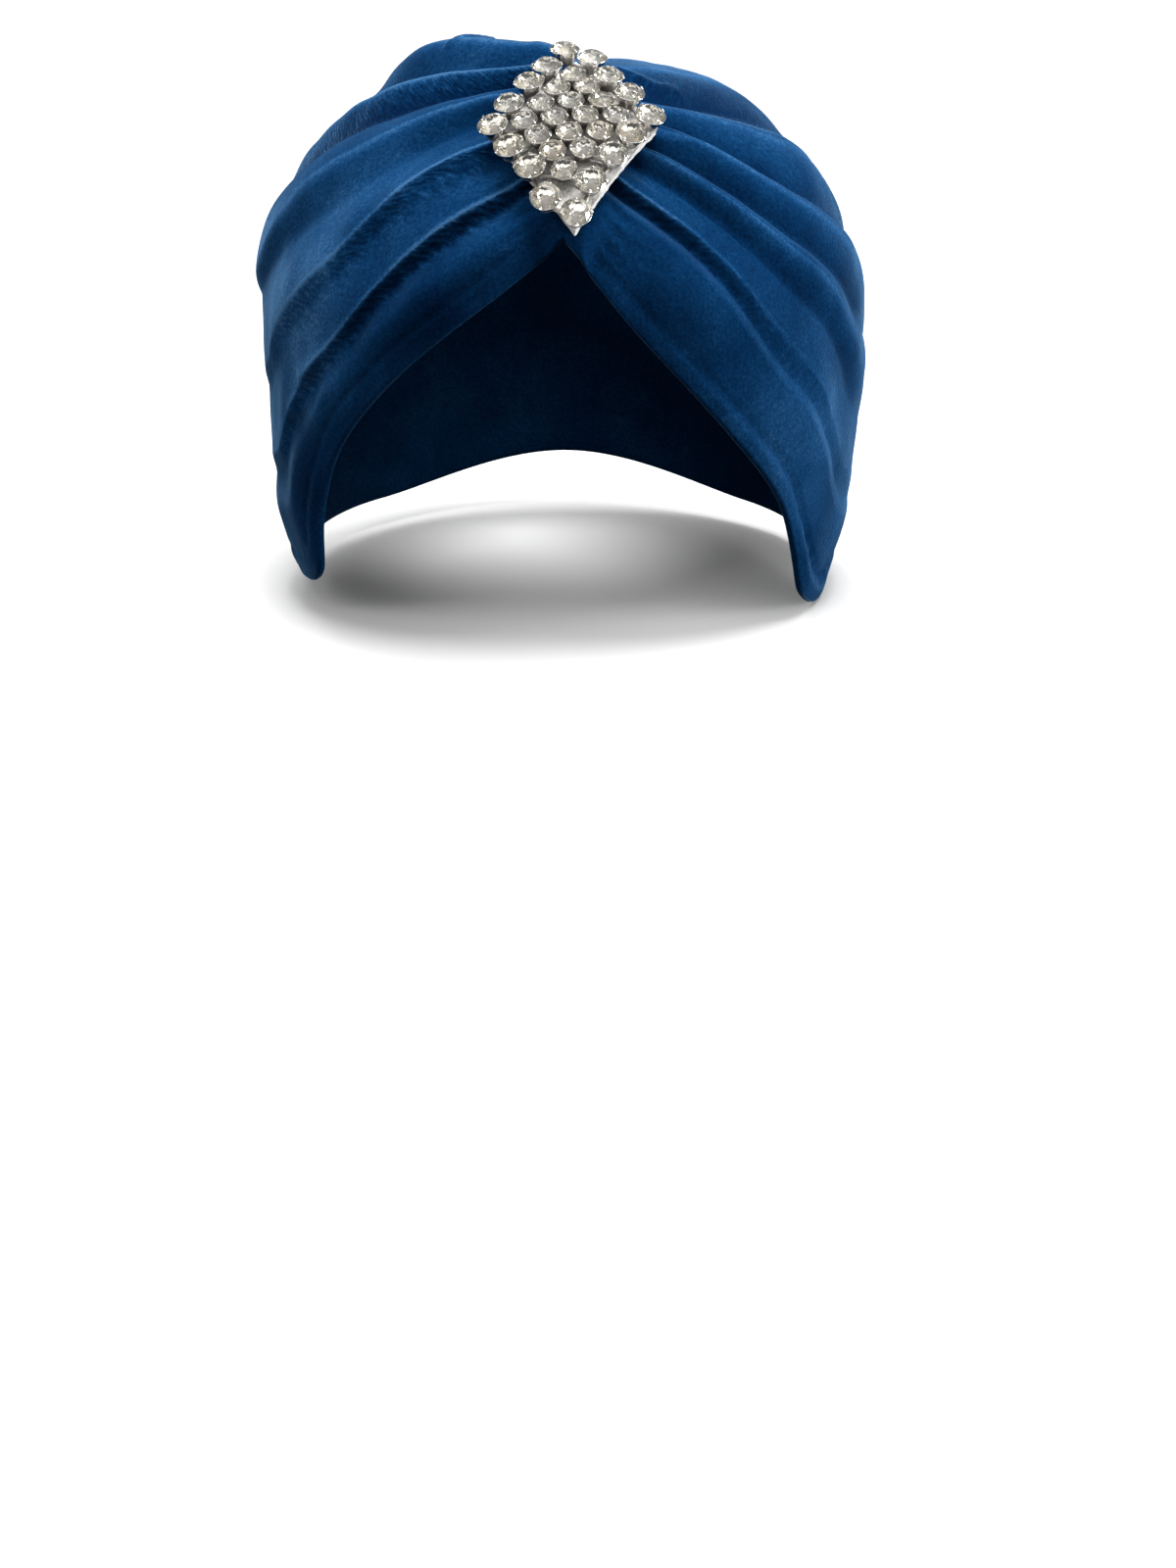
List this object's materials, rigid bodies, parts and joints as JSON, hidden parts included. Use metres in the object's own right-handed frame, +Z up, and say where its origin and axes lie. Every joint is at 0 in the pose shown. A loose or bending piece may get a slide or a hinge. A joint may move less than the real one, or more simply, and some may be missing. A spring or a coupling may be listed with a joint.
{
  "type": "forehead headband",
  "caption": "Wide turban-style velvet headband with an open crown, gathered into soft pleats at the forehead under a diamond-shaped brooch of claw-set round cut stones.",
  "frame": {"origin": "middle of the head opening at its widest level, where the band sits on the head", "axes": "+Z up, the brooch faces -Y, +X to the right as seen from the front"},
  "size_m": [0.1628, 0.1944, 0.1416],
  "materials": {
    "velvet": "deep blue plush velvet with a short soft pile",
    "felt_backing": "white felted pad",
    "silver_setting": "bright silver plate",
    "cut_stone": "clear faceted glass with a silvered back"
  },
  "bodies": {
    "root": {"velvet_band": "velvet", "brooch_backing": "felt_backing", "claw_setting": "silver_setting", "stone_outer_01": "cut_stone", "stone_outer_02": "cut_stone", "stone_outer_03": "cut_stone", "stone_outer_04": "cut_stone", "stone_outer_05": "cut_stone", "stone_outer_06": "cut_stone", "stone_outer_07": "cut_stone", "stone_outer_08": "cut_stone", "stone_outer_09": "cut_stone", "stone_outer_10": "cut_stone", "stone_outer_11": "cut_stone", "stone_outer_12": "cut_stone", "stone_outer_13": "cut_stone", "stone_outer_14": "cut_stone", "stone_outer_15": "cut_stone", "stone_outer_16": "cut_stone", "stone_inner_01": "cut_stone", "stone_inner_02": "cut_stone", "stone_inner_03": "cut_stone", "stone_inner_04": "cut_stone", "stone_inner_05": "cut_stone", "stone_inner_06": "cut_stone", "stone_inner_07": "cut_stone", "stone_inner_08": "cut_stone", "stone_inner_09": "cut_stone", "stone_inner_10": "cut_stone", "stone_inner_11": "cut_stone", "stone_inner_12": "cut_stone", "stone_inner_13": "cut_stone", "stone_inner_14": "cut_stone", "stone_inner_15": "cut_stone", "stone_inner_16": "cut_stone"}
  },
  "joints": []
}
